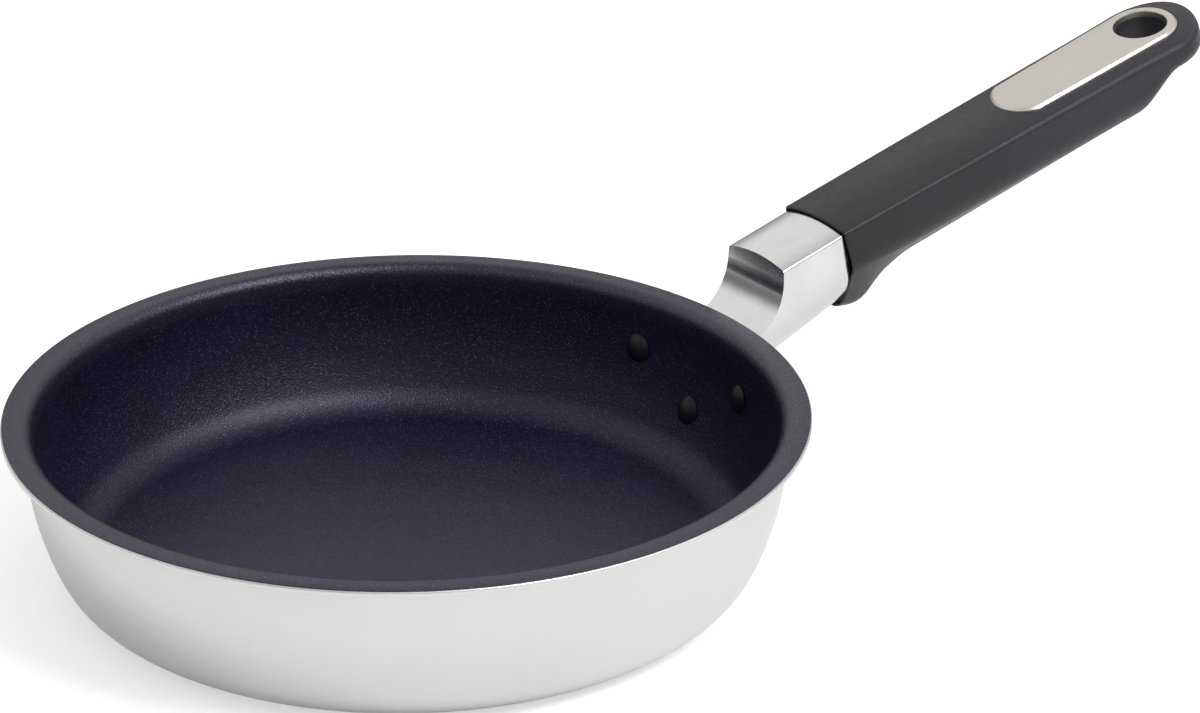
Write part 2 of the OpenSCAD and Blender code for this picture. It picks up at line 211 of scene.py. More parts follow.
def rod(radius, depth, sides, matrix):
    """A cylinder, its middle and its axis where the matrix takes the origin and Z."""
    bpy.ops.object.select_all(action="DESELECT")
    bpy.ops.mesh.primitive_cylinder_add(vertices=sides, radius=radius, depth=depth)
    obj = bpy.context.object
    place(obj, matrix)
    return obj


def loft(name, rings):
    """A tube through rings of (x, y, z) points, all with the same count."""
    around, along = len(rings[0]), len(rings) - 1
    bpy.ops.object.select_all(action="DESELECT")
    bpy.ops.mesh.primitive_grid_add(x_subdivisions=around, y_subdivisions=along, size=2)
    obj = bpy.context.object
    obj.name = obj.data.name = name
    for vertex in obj.data.vertices:
        column = round((vertex.co.x + 1) / 2 * around)
        row = round((vertex.co.y + 1) / 2 * along)
        vertex.co = rings[row][column % around]
    edit(obj)
    bpy.ops.mesh.remove_doubles(threshold=1e-3)
    close_edit()
    return obj


def select_corners(obj, test):
    """Opens obj with only the corners that pass the test selected."""
    edit(obj)
    bpy.ops.mesh.select_all(action="DESELECT")
    close_edit()
    for vertex in obj.data.vertices:
        vertex.select = test(vertex.co)
    bpy.ops.object.mode_set(mode="EDIT")


def fill(obj, test):
    """Closes the ring of corners that pass the test with one face."""
    select_corners(obj, test)
    bpy.ops.mesh.edge_face_add()
    turn_outwards()


# %% [markdown]
# ## The pressed bowl
# The bowl is pressed from one disc and turned on a lathe, so a spun outline is its true form.
# The outline runs up the outside, round the bare edge of the lip and back down the inside.

# %% Bowl
def outside_path():
    """The outside of the bowl, from the middle of the base to the lip's top."""
    edge_x, edge_top, under_z = RIM_R - LIP_EDGE, METAL_TOP - LIP_DROP, METAL_TOP - LIP_T
    return (
        [(0, 0)]
        + wall_path(0, 0, CORNER)
        + arc(NECK_R + LIP_UNDER, under_z - LIP_UNDER, LIP_UNDER, 180, 90, 8)
        + arc(edge_x, edge_top - LIP_T + LIP_EDGE, LIP_EDGE, -90, 0, 5)
        + arc(edge_x, edge_top - LIP_EDGE, LIP_EDGE, 0, 90, 5)
    )


bowl = spun("bowl", outside_path() + cavity_path(0)[::-1])
print("bowl:", len(bowl.data.polygons), "faces")

# %% [markdown]
# ## The non-stick coat
# The coat is a layer of its own, 0.3 mm thick, over the floor, the wall and the lip's top.
# It stops short of the lip's outer edge, where the bare metal shows as a bright line.
# Its own edge is a small ramp, because a sprayed layer has no square corner.

# %% Coat
RAMP_OUT, RAMP_IN = 0.1, 0.12
coat_x, coat_z = RIM_R - LIP_EDGE, PAN_H - LIP_DROP
ramp = [(coat_x, coat_z - COAT + COAT_GAP)]
ramp += [(coat_x + RAMP_OUT, coat_z - RAMP_IN), (coat_x - RAMP_IN, coat_z)]
coat = spun("coat", cavity_path(COAT_GAP) + ramp + cavity_path(COAT)[::-1])
print("coat:", len(coat.data.polygons), "faces")

# %% [markdown]
# ## Rivets
# Each rivet has a low dome inside the pan, a shank and a smaller closed dome outside.
# One rivet is spun and then copied, each copy with its own mesh, square to the wall.

# %% Rivet places
# Heights of the upper and lower rivets, and the upper ones' turn from the handle, in degrees
UPPER_Z, LOWER_Z, RIVET_TURN = PAN_H - 18, PAN_H - 31, 13
FLANGE_T, FLANGE_GAP, RIVET_GAP = 4, 0.1, 0.1
# The head inside the pan and the closed tail outside: radius, height, round edge
HEAD_R, HEAD_H, HEAD_EDGE = 4.5, 2.2, 0.6
TAIL_R, TAIL_H, TAIL_EDGE = 4, 1.5, 0.5
SHANK_R, RIVET_HOLE_R, RIVET_DRILL = 2.5, 2.6, 24
RIVETS = {
    "rivet_left": (RIVET_TURN, UPPER_Z),
    "rivet_right": (-RIVET_TURN, UPPER_Z),
    "rivet_lower": (0, LOWER_Z),
}


def rivet_matrix(turn, z):
    """Z points out of the wall, square to it, at this height."""
    lean = asin((NECK_Z - z) / SIDE_R)
    out = shift(SIDE_X + SIDE_R * cos(lean), 0, z)
    return Matrix.Rotation(radians(turn), 4, "Z") @ out @ Matrix.Rotation(pi / 2 + lean, 4, "Y")


def dome(radius, height, edge, steps):
    """A domed cap from its rim to its top, with a rounded rim."""
    ball = (radius**2 + height**2) / (2 * height)
    reach = asin((radius - edge * 0.4) / ball)
    turns = [reach * (1 - i / steps) for i in range(steps + 1)]
    cap = [(ball * sin(a), height - ball + ball * cos(a)) for a in turns]
    return [(radius - 0.3 * edge, 0), (radius, 0.35 * edge), *cap]


head_z = -(WALL_T + COAT + RIVET_GAP + HEAD_R**2 / 2 / SIDE_R)
tail_z = FLANGE_GAP + FLANGE_T + RIVET_GAP
head = [(r, head_z - z) for r, z in dome(HEAD_R, HEAD_H, HEAD_EDGE, 14)][::-1]
tail = [(r, tail_z + z) for r, z in dome(TAIL_R, TAIL_H, TAIL_EDGE, 12)]
rivet = spun("rivet", head + [(SHANK_R, head_z), (SHANK_R, tail_z)] + tail, 64)
smooth(rivet, 40)
rivets = {}
for name, (turn, z) in RIVETS.items():
    piece = rivet.copy()
    piece.data = rivet.data.copy()
    piece.name = piece.data.name = name + "_head"
    bpy.context.collection.objects.link(piece)
    place(piece, rivet_matrix(turn, z))
    rivets[name] = piece
bpy.data.objects.remove(rivet)
print("rivets:", ", ".join(rivets))


# %% Rivet holes
def rivet_drills():
    """Three drills on the rivets' axes, as one tool body."""
    spots = [rivet_matrix(turn, z) for turn, z in RIVETS.values()]
    drills = [rod(RIVET_HOLE_R, RIVET_DRILL, 48, spot) for spot in spots]
    for drill in drills:
        drill.select_set(True)
    bpy.ops.object.join()
    return bpy.context.object


for shell in (bowl, coat):
    cut(shell, rivet_drills())
    print(shell.name, "with its rivet holes:", len(shell.data.polygons), "faces")

# %% [markdown]
# ## The cast neck
# The neck is one casting: a flange that the rivets hold, a block with a crowned top and
# a hollow face that clears the lip, and a tang that reaches into the grip.
# The block is a bar between two cross-sections. Its two long top edges are rounded first,
# while it has no other edges, because the fine bright lines along them make it look
# polished. It is closed at its ends after that, then cut and joined as if machined.

# %% Handle frames and sizes of the neck
# Degrees: the handle's rise, how much flatter the grip lies, and the slope of the keel
HANDLE_LEAN, GRIP_LEAN, KEEL_TURN = 14, 1.1, 6.8
HANDLE = shift(RIM_R, 0, PAN_H) @ Matrix.Rotation(-radians(HANDLE_LEAN), 4, "Y")
GRIP_START = 41.3
MOUTH_FLOOR = GRIP_START + 1.6
grip_turn = Matrix.Rotation(radians(GRIP_LEAN), 4, "Y")
GRIP = HANDLE @ shift(GRIP_START, 0, 0) @ grip_turn @ shift(-GRIP_START, 0, 0)
# Half widths at the middle and the top, radii of the sides and the keel, the keel's depth
NECK_W, NECK_TOP_W, NECK_SIDE_R, KEEL_R, KEEL_DROP = 13.9, 13.4, 22, 6, 18.4
# Height of the top, radius of its crown and of its long edges
NECK_TOP, NECK_CROWN, NECK_EDGE = 11.9, 50, 0.65
# The hollow front: an arc, then a straight line that leans back by FRONT_LEAN
FRONT_R, FRONT_X, FRONT_Z, FRONT_LEAN = 17.8, -1.1, 11.3, 14
SIDE_OFF = NECK_SIDE_R - NECK_W
KEEL_Z = -sqrt((NECK_SIDE_R - KEEL_R) ** 2 - SIDE_OFF**2)
KEEL_SHIFT = KEEL_R - KEEL_Z - KEEL_DROP


def neck_ring(t, inset):
    """The neck's section at distance t: a crowned top, bulging sides and a round keel."""
    drop = KEEL_SHIFT - (GRIP_START - t) * tan(radians(KEEL_TURN))
    lean = cos(radians(KEEL_TURN))
    meet = degrees(atan2(KEEL_Z, SIDE_OFF))
    crown = NECK_CROWN - inset
    top_end = degrees(acos((NECK_TOP_W - inset) / crown))
    top = arc(0, NECK_TOP - NECK_CROWN, crown, 90, top_end, 6)
    side = arc(-SIDE_OFF, 0, NECK_SIDE_R - inset, 0, meet, 9)
    keel = arc(0, KEEL_Z, KEEL_R - inset, meet, -90, 8)[1:]
    half = top + [(y, drop + z / lean) for y, z in side + keel]
    return [(t, y, z) for y, z in half] + [(t, -y, z) for y, z in half[-2:0:-1]]


def neck_bar(name, inset, start, end):
    """A bar of the neck's section, with its two long top edges rounded."""
    bar = loft(name, [neck_ring(start, inset), neck_ring(end, inset)])
    only_sharp = {"limit_method": "ANGLE", "angle_limit": radians(40)}
    modify(bar, "BEVEL", width=NECK_EDGE, segments=4, **only_sharp)
    for end_t in (start, end):
        fill(bar, lambda co: abs(co.x - end_t) < 1e-3)
    place(bar, HANDLE)
    return bar


# %% Neck block
# The block starts inside the pan, where the clearance cuts it off. FAR is well past it
NECK_FROM, FAR = -26, 40
neck = neck_bar("neck", 0, NECK_FROM, MOUTH_FLOOR)
hollow = [(-2 * FAR, FAR), (-2 * FAR, FRONT_Z - FRONT_R)]
hollow += arc(FRONT_X, FRONT_Z, FRONT_R, -90, -FRONT_LEAN, 30)
arc_end_x, arc_end_z = hollow[-1]
hollow.append((arc_end_x + (FAR - arc_end_z) * tan(radians(FRONT_LEAN)), FAR))
tool = extruded("hollow", hollow, lambda x, z: (x, -FAR, z), (0, 2 * FAR, 0))
place(tool, HANDLE)
cut(neck, tool)
print("neck block:", len(neck.data.polygons), "faces")

# %% Flange
FLANGE_MARGIN, SHIELD_X, SHIELD_DEPTH = 6.5, 80, 60


def shield():
    """The flange's outline, seen from the pan: a band round three discs."""
    lean = asin((NECK_Z - UPPER_Z) / SIDE_R)
    side = (SIDE_X + SIDE_R * cos(lean)) * sin(radians(RIVET_TURN))
    slope = degrees(atan2(UPPER_Z - LOWER_Z, side))
    low = arc(0, LOWER_Z, FLANGE_MARGIN, 180 + slope, 360 - slope, 14)
    right = arc(side, UPPER_Z, FLANGE_MARGIN, -slope, 90, 12)
    left = arc(-side, UPPER_Z, FLANGE_MARGIN, 90, 180 + slope, 12)
    return left + low + right


def bowl_body(name, gap):
    """The bowl's outside, filled and grown by a gap."""
    top = [(NECK_R + gap, PAN_H), (0, PAN_H)]
    return spun(name, [(0, -gap)] + wall_path(-gap, -gap, CORNER + gap) + top)


flange = extruded("flange", shield(), lambda y, z: (SHIELD_X, y, z), (SHIELD_DEPTH, 0, 0))
cut(flange, bowl_body("flange_face", FLANGE_GAP + FLANGE_T), "INTERSECT")
cut(neck, flange, "UNION")
cut(neck, bowl_body("clearance", FLANGE_GAP))
cut(neck, rivet_drills())
print("neck with its flange:", len(neck.data.polygons), "faces")

# %% Spigot and tang
SPIGOT_INSET, SPIGOT_LAP, SPIGOT_END = 2, 0.7, GRIP_START + 6
TANG_W, TANG_T, TANG_ROUND, TANG_DROP = 15, 8, 1.5, 2
TANG_FROM, TANG_END = GRIP_START + 3, 152
SCREW_AT, SCREW_HOLE_R, SCREW_DRILL = 142, 2.6, 30
spigot = neck_bar("spigot", SPIGOT_INSET, MOUTH_FLOOR - SPIGOT_LAP, SPIGOT_END)
cut(neck, spigot, "UNION")


def tang_bar(grow):
    """The flat bar inside the grip, with rounded edges."""
    half_w, half_t = TANG_W / 2 + grow - TANG_ROUND, TANG_T / 2 + grow - TANG_ROUND
    corners = []
    for turn, side, end in ((0, 1, 1), (90, -1, 1), (180, -1, -1), (270, 1, -1)):
        middle = (side * half_w, end * half_t - TANG_DROP)
        corners += arc(*middle, TANG_ROUND, turn, turn + 90, 5)
    length = TANG_END + grow - TANG_FROM
    return extruded("tang", corners, lambda y, z: (TANG_FROM, y, z), (length, 0, 0))


tang = tang_bar(0)
cut(tang, rod(SCREW_HOLE_R, SCREW_DRILL, 32, shift(SCREW_AT, 0, 0)))
place(tang, GRIP)
cut(neck, tang, "UNION")
merge_slivers(neck)
smooth(neck, 32)
modify(neck, "WEIGHTED_NORMAL", keep_sharp=True)
print("neck finished:", len(neck.data.polygons), "faces")

# %% [markdown]
# ## The moulded grip
# The grip is a moulding with a crowned top, sides that draw in to a crease, a deep finger
# guard at the mouth and a round, thin tail. A loft is the natural way to make it: each
# cross-section is the band round a few circles, and a point on it is found by the direction
# that the surface faces there, so that neighbouring sections join without a twist.

# %% Sizes of the grip
GRIP_TOP, GRIP_CROWN, GRIP_KEEL = 12.9, 60, 9
HOLE_AT, HOLE_R = 183, 8.6
TAIL_AT, TAIL_SIDE_Z = 184.6, 6
MOUTH_LIP, SOCKET_INSET, SOCKET_END = 0.75, 1.85, GRIP_START + 6.2
# Tables of (distance t, size): the depth of the underside, the half width, the half width
# of the top, the round of the side, the height of the widest place, the crease's round
DEPTH = [
    (41.3, 20.4), (48.3, 22.9), (51.5, 21.6), (56, 18.4), (61, 16.6), (69.3, 14.9),
    (168, 14.8), (181, 1.5), (190, 1.5),
]
HALF = [(41.3, 15.8), (168, 17.8), (181, 17.8), (184.6, 18)]
TOP = [(41.3, 14.2), (181, 16.6), (184.6, 16.8)]
SIDE_ROUND = [(41.3, 8), (168, 8), (181, 4.2), (190, 4.2)]
SIDE_LEVEL = [(41.3, 0), (168, 0), (181, 6), (190, 6)]
CREASE = [(41.3, 1.3), (100, 2.0), (150, 2.7), (184.6, 3.4)]


def read(table, t):
    """A value from a table of (distance, value), straight between its rows."""
    if t <= table[0][0]:
        return table[0][1]
    for (t0, v0), (t1, v1) in zip(table, table[1:]):
        if t <= t1:
            return v0 + (v1 - v0) * (t - t0) / (t1 - t0)
    return table[-1][1]


def eased(table, t, soft):
    """The same with its corners rounded, over a distance of soft each way."""
    return sum(read(table, t + soft * k / 6) for k in range(-6, 7)) / 13


def half_directions():
    """Directions of the right half, from straight down to straight up."""
    belly = [-90 + 4 * i for i in range(18)]
    side = [-18, -14, -10, -6, -3, 0, 2, 4, 6, 8]
    crease = [12, 18, 24, 30, 37, 44, 51, 58, 64, 70]
    top = [75, 78, 81, 84, 87, 90]
    return belly + side + crease + top


HALF_TURNS = half_directions()
TURNS = HALF_TURNS + [180 - a for a in HALF_TURNS[-2:0:-1]]
print("corners in a section of the grip:", len(TURNS))


# %% Sections of the grip and of its mouth
def grip_section(t, turn, inset=0):
    """Where the grip's surface faces this way, at distance t: (across, up)."""
    # The underside is eased over 3.5 mm each way, and over less close to the mouth
    low = eased(DEPTH, t, min(3.5, max(0.5, t - GRIP_START)))
    side_r, side_z = eased(SIDE_ROUND, t, 3), eased(SIDE_LEVEL, t, 3)
    edge, top_w = read(CREASE, t), read(TOP, t)
    side_x, crown_z = read(HALF, t) - side_r, GRIP_TOP - GRIP_CROWN
    # The flat flank leaves the side's circle and runs to the corner of the top
    away = hypot(top_w - side_x, GRIP_TOP - side_z)
    face = atan2(GRIP_TOP - side_z, top_w - side_x) - acos(side_r / away)
    # The crease's circle touches the flank and the crown from inside
    x0 = side_x + (side_r - edge) * cos(face)
    z0 = side_z + (side_r - edge) * sin(face) - crown_z
    along = x0 * -sin(face) + z0 * cos(face)
    rise = -along + sqrt(along**2 - x0**2 - z0**2 + (GRIP_CROWN - edge) ** 2)
    crease_x, crease_z = x0 - rise * sin(face), z0 + rise * cos(face)
    crown_from = degrees(atan2(crease_z, crease_x))
    a = radians(min(turn, 180 - turn))
    facing = (cos(a), sin(a))
    if degrees(a) >= crown_from:
        spot = (GRIP_CROWN * facing[0], crown_z + GRIP_CROWN * facing[1])
    else:
        keel = (0, GRIP_KEEL - low, GRIP_KEEL)
        crease = (crease_x, crease_z + crown_z, edge)
        rounds = [(side_x, side_z, side_r), keel if a < 0 else crease]
        x, z, r = max(rounds, key=lambda c: c[0] * facing[0] + c[1] * facing[1] + c[2])
        spot = (x + r * facing[0], z + r * facing[1])
    across, up = spot[0] - inset * facing[0], spot[1] - inset * facing[1]
    return (across if turn <= 90 else -across), up


def socket_section(turn, inset):
    """The same for the neck's spigot, which the grip's mouth goes round."""
    a = radians(min(turn, 180 - turn))
    facing = (cos(a), sin(a))
    crown, side, keel = NECK_CROWN - inset, NECK_SIDE_R - inset, KEEL_R - inset
    crown_z = NECK_TOP - NECK_CROWN
    corner_x = NECK_TOP_W - inset
    corner_z = crown_z + sqrt(crown**2 - corner_x**2)
    corner_a = acos(corner_x / crown)
    # From the top down: the crown, a straight piece at the corner, the side, the keel
    if degrees(a) > degrees(corner_a):
        spot = (crown * facing[0], crown_z + crown * facing[1])
    elif a > 0.02:
        spot = (corner_x, KEEL_SHIFT + (corner_z - KEEL_SHIFT) * (a / corner_a))
    elif degrees(a) > degrees(atan2(KEEL_Z, SIDE_OFF)):
        spot = (-SIDE_OFF + side * facing[0], KEEL_SHIFT + side * facing[1])
    else:
        spot = (keel * facing[0], KEEL_SHIFT + KEEL_Z + keel * facing[1])
    return (spot[0] if turn <= 90 else -spot[0]), spot[1]


# %% Loft the grip
def at(t, section):
    """A section as a ring of the loft, at distance t."""
    return [(t, across, up) for across, up in section]


socket = [socket_section(a, SOCKET_INSET) for a in TURNS]
mouth = [grip_section(GRIP_START, a, MOUTH_LIP) for a in TURNS]
rings = [at(SOCKET_END, socket), at(MOUTH_FLOOR, socket), at(MOUTH_FLOOR, mouth)]
for k in range(7):
    lean, r = radians(30 * k), MOUTH_LIP / 2
    t = GRIP_START + r * (1 - sin(lean))
    rings.append(at(t, [grip_section(GRIP_START, a, r + r * cos(lean)) for a in TURNS]))
stations = [42.1, 43, 44, 45, 46.2, 47.5, 49, 51, 53, 55, 57.5, 60, 62.5, 65, 67.5, 70]
stations += [73, 77, 82, 88, 95, 102, 110, 118, 126, 134, 142, 150, 156, 161]
stations += [163.5 + 1.25 * i for i in range(17)] + [TAIL_AT]
rings += [at(t, [grip_section(t, a) for a in TURNS]) for t in stations]
grip = loft("grip_body", rings)
print("grip loft:", len(rings), "sections of", len(TURNS), "corners")

# %% Close the grip's ends
fill(grip, lambda co: abs(co.x - SOCKET_END) < 1e-3)
select_corners(grip, lambda co: abs(co.x - TAIL_AT) < 1e-3 and co.y < 1e-3)
bpy.ops.mesh.spin(steps=36, angle=-pi, center=(TAIL_AT, 0, 0), axis=(0, 0, 1))
bpy.ops.mesh.select_all(action="SELECT")
bpy.ops.mesh.remove_doubles(threshold=2e-3)
turn_outwards()
# The spun tail has a domed top: it is brought back to the crown that runs along the grip
for vertex in grip.data.vertices:
    away = hypot(vertex.co.x - TAIL_AT, vertex.co.y)
    if vertex.co.x > TAIL_AT and vertex.co.z > TAIL_SIDE_Z:
        drop, wanted = (v**2 / 2 / GRIP_CROWN for v in (away, vertex.co.y))
        share = min(1, (vertex.co.z - TAIL_SIDE_Z) / (GRIP_TOP - drop - TAIL_SIDE_Z))
        vertex.co.z += (drop - wanted) * share
print("grip closed:", len(grip.data.polygons), "faces")

# %% [markdown]
# ## The inlay plate and its recess
# The plate is a flat stamping with a bowed front, sides that spread to a ring round the
# hanging hole and a bright bevel. The recess in the grip is the same plan, a hair wider.

# %% Plan of the plate
PLATE_W, PLATE_T, PLATE_TOP, PLATE_LEN = 10.9, 2, 13.5, 62.4
PLATE_FROM = HOLE_AT - PLATE_LEN
# Radii of the bowed front, of the ring round the hanging hole and of the plate's own hole
PLATE_FRONT_R, PLATE_END_R, PLATE_HOLE = 12, HOLE_R + 3.5, HOLE_R + 0.2
PLATE_GAP, TANG_GAP, RECESS_DEPTH, HOLE_DRILL = 0.12, 0.15, 20, 60


def plate_plan(grow):
    """The plate's outline, grown by a clearance or drawn in by a bevel."""
    radius, middle = PLATE_FRONT_R + grow, PLATE_FROM + PLATE_FRONT_R
    slope = (PLATE_END_R - PLATE_W) / (HOLE_AT - PLATE_FROM)
    reach = asin(min(1, (PLATE_W + grow) / radius))
    # Where the bowed front meets the spreading side: each pass comes closer
    for _ in range(6):
        side = PLATE_W + grow + slope * (middle - radius * cos(reach) - PLATE_FROM)
        reach = asin(min(1, side / radius))
    front = arc(middle, 0, radius, 180 + degrees(reach), 180 - degrees(reach), 40)
    return front + arc(HOLE_AT, 0, PLATE_END_R + grow, 90, -90, 48)


# %% Recess, hanging hole and socket in the grip
seat = PLATE_TOP - PLATE_T
plan = plate_plan(PLATE_GAP)
cut(grip, extruded("recess", plan, lambda x, y: (x, y, seat), (0, 0, RECESS_DEPTH)))
cut(grip, rod(HOLE_R, HOLE_DRILL, 96, shift(HOLE_AT, 0, 0)))
cut(grip, tang_bar(TANG_GAP))
merge_slivers(grip)
modify(grip, "TRIANGULATE", min_vertices=5, ngon_method="BEAUTY")
smooth(grip, 38)
modify(grip, "WEIGHTED_NORMAL", keep_sharp=True)
place(grip, GRIP)
print("grip finished:", len(grip.data.polygons), "faces")

# %% Plate
# The bevel in steps of (growth of the plan, height under the top)
BEVEL = [(0, 0.98), (-0.06, 0.84), (-0.78, 0.09), (-0.92, 0.02), (-1.05, 0)]
STUD_R, STUD_LEN, STUD_LAP, STUDS = 1.5, 5, 1, (PLATE_FROM + 9, PLATE_FROM + 40)
levels = [(0, seat)] + [(grow, PLATE_TOP - under) for grow, under in BEVEL]
plate = loft("plate", [[(x, y, z) for x, y in plate_plan(grow)] for grow, z in levels])
for level in (seat, PLATE_TOP):
    fill(plate, lambda co: abs(co.z - level) < 1e-4)
BORE_EDGE, BORE_LOW, BORE_HIGH = 0.35, 5, 20
mouth_r = PLATE_HOLE + BORE_EDGE
bore_side = [(0, BORE_LOW), (PLATE_HOLE, BORE_LOW), (PLATE_HOLE, PLATE_TOP - BORE_EDGE)]
bore_top = [(PLATE_HOLE + 0.1, PLATE_TOP - 0.12), (mouth_r, PLATE_TOP), (mouth_r, BORE_HIGH)]
bore = spun("bore", bore_side + bore_top + [(0, BORE_HIGH)], 96)
place(bore, shift(HOLE_AT, 0, 0))
cut(plate, bore)
stud_z = seat + STUD_LAP - STUD_LEN / 2
for stud_x in STUDS:
    cut(plate, rod(STUD_R, STUD_LEN, 32, shift(stud_x, 0, stud_z)), "UNION")
smooth(plate, 20)
place(plate, GRIP)
print("plate:", len(plate.data.polygons), "faces")

# %% [markdown]
# ## From millimetres to metres
# All new pieces were made in millimetres. They are scaled in their meshes, so that every
# object sits at the origin, unturned and unscaled, as the CAD nodes do.

# %% Scale the pieces and smooth the turned ones
pieces = {
    "pan_body": bowl, "nonstick_lining": coat, "handle_bracket": neck,
    "grip": grip, "inlay_plate": plate, **rivets,
}
for piece in pieces.values():
    place(piece, Matrix.Scale(MM, 4))
for shell in (bowl, coat):
    smooth(shell, 40)
print("pieces:", {name: len(piece.data.polygons) for name, piece in pieces.items()})

# %% [markdown]
# ## Shared effects for the materials
# A node group is built once and used in several materials with its own numbers.
# Lathe lines follow the turn of the pan: the pattern changes fast along the outline and
# slowly round the pan. Mottle is the soft cloudiness of any handled surface. Long grain
# is drawn out along one direction, as a brush leaves it.

# %% Helpers for nodes
FLOAT, VECTOR = "NodeSocketFloat", "NodeSocketVector"


def new_group(name, inputs, outputs):
    """A node group with (label, kind, value) inputs and plain number outputs."""
    group = bpy.data.node_groups.new(name, "ShaderNodeTree")
    for label, kind, value in inputs:
        socket = group.interface.new_socket(label, in_out="INPUT", socket_type=kind)
        socket.default_value = value
    for label in outputs:
        group.interface.new_socket(label, in_out="OUTPUT", socket_type=FLOAT)
    given = group.nodes.new("NodeGroupInput").outputs
    return group, given, group.nodes.new("NodeGroupOutput").inputs


def put(tree, value, socket):
    """Links an output to the socket, or writes a plain value on it."""
    if isinstance(value, bpy.types.NodeSocket):
        tree.links.new(value, socket)
    else:
        socket.default_value = value


def node(tree, kind, links=None, **settings):
    """Adds a node, sets its properties and fills its inputs by name or number."""
    made = tree.nodes.new("ShaderNode" + kind)
    for key, value in settings.items():
        setattr(made, key, value)
    for key, value in (links or {}).items():
        put(tree, value, made.inputs[key])
    return made


def maths(tree, operation, a, b=0.0):
    """One sum of two numbers."""
    return node(tree, "Math", {0: a, 1: b}, operation=operation).outputs[0]


def vector(tree, operation, a, b, out=0):
    """One sum of two vectors. out names the output that is wanted."""
    return node(tree, "VectorMath", {0: a, 1: b}, operation=operation).outputs[out]


def add_up(tree, a, a_share, b, b_share):
    """Adds a share of a to a share of b."""
    b_part = maths(tree, "MULTIPLY", b, b_share)
    return maths(tree, "ADD", maths(tree, "MULTIPLY", a, a_share), b_part)


def between(tree, value, low, high, to_low=0.0, to_high=1.0):
    """Maps a range of values onto another, clamped."""
    return node(tree, "MapRange", {0: value, 1: low, 2: high, 3: to_low, 4: to_high}).outputs[0]


def spread(tree, value, to_low=0.0, to_high=1.0):
    """Maps the range that a noise really fills, 0.3 to 0.7, onto another."""
    return between(tree, value, 0.3, 0.7, to_low, to_high)


def blend(tree, factor, a, b):
    """Mixes two colours."""
    mix = node(tree, "Mix", data_type="RGBA")
    for key, value in ((0, factor), (6, a), (7, b)):
        put(tree, value, mix.inputs[key])
    return mix.outputs[2]


def noise(tree, spot, scale, detail, roughness=0.5):
    """Soft random values over space, about 0.3 to 0.7."""
    fields = {"Vector": spot, "Scale": scale, "Detail": detail, "Roughness": roughness}
    return node(tree, "TexNoise", fields).outputs["Fac"]


def object_spot(tree):
    """The place on the piece, in metres from the origin."""
    return node(tree, "TexCoord").outputs["Object"]


def from_axis(tree, xyz):
    """The place without its height, and its distance from the pan's axis."""
    flat = node(tree, "CombineXYZ", {0: xyz.outputs[0], 1: xyz.outputs[1]}).outputs[0]
    return flat, vector(tree, "LENGTH", flat, (0, 0, 0), "Value")


# %% Group: lathe lines
lathe_inputs = [("Fineness", FLOAT, 900.0), ("Reach", FLOAT, 3.0)]
lathe, given, result = new_group("LatheLines", lathe_inputs, ["Lines"])
xyz = node(lathe, "SeparateXYZ", {0: object_spot(lathe)})
flat, radius = from_axis(lathe, xyz)
facing = vector(lathe, "NORMALIZE", flat, (0, 0, 0))
reached = {0: facing, "Scale": given["Reach"]}
stretched = node(lathe, "VectorMath", reached, operation="SCALE").outputs[0]
outline_run = maths(lathe, "ADD", radius, xyz.outputs[2])
outline_run = maths(lathe, "MULTIPLY", outline_run, given["Fineness"])
apart = node(lathe, "SeparateXYZ", {0: stretched})
turned_spot = {0: apart.outputs[0], 1: apart.outputs[1], 2: outline_run}
lines = noise(lathe, node(lathe, "CombineXYZ", turned_spot).outputs[0], 1.0, 3.0, 0.6)
lathe.links.new(lines, result["Lines"])
print("lathe lines:", len(lathe.nodes), "nodes")

# %% Group: mottle
mottle, given, result = new_group("Mottle", [("Size", FLOAT, 60.0)], ["Cloud", "Fine"])
spot = object_spot(mottle)
mottle.links.new(noise(mottle, spot, given["Size"], 4.0, 0.55), result["Cloud"])
fine_scale = maths(mottle, "MULTIPLY", given["Size"], 14.0)
mottle.links.new(noise(mottle, spot, fine_scale, 2.0), result["Fine"])
print("mottle:", len(mottle.nodes), "nodes")

# %% Group: long grain, for brushed and drawn metal
grain_inputs = [("Lean", VECTOR, (0, 0, 0)), ("Fineness", FLOAT, 1500.0)]
grain, given, result = new_group("LongGrain", grain_inputs, ["Grain"])
leaning = {"Vector": object_spot(grain), "Rotation": given["Lean"]}
turned = node(grain, "VectorRotate", leaning, rotation_type="EULER_XYZ").outputs[0]
drawn = vector(grain, "MULTIPLY", turned, (0.02, 1.0, 1.0))
grain.links.new(noise(grain, drawn, given["Fineness"], 3.0, 0.65), result["Grain"])
print("long grain:", len(grain.nodes), "nodes")


# %% Helpers for materials
def new_material(name, **values):
    """A Principled material, its plain values set on the shader itself."""
    material = bpy.data.materials.new(name)
    material.use_nodes = True
    shader = material.node_tree.nodes["Principled BSDF"]
    for key, value in values.items():
        shader.inputs[key.replace("_", " ")].default_value = value
    return material, material.node_tree, shader


def use(tree, group, **values):
    """Adds a group with its own numbers and gives its outputs."""
    made = tree.nodes.new("ShaderNodeGroup")
    made.node_tree = group
    for key, value in values.items():
        made.inputs[key].default_value = value
    return made.outputs


def bump(tree, shader, height, strength, distance):
    """Feeds a height to the shader's normal."""
    made = node(tree, "Bump", {"Height": height, "Strength": strength, "Distance": distance})
    tree.links.new(made.outputs[0], shader.inputs["Normal"])


for plain in bpy.data.materials:
    plain.name = "plain_" + plain.name
print("plain materials of the CAD model:", len(bpy.data.materials))

# %% [markdown]
# ## Satin aluminium
# The outside of the bowl is spun to an even satin: very fine lines round the pan that only
# soften the reflections. Under the base the lines are coarser and deeper, as a lathe
# tool leaves them on a flat disc.

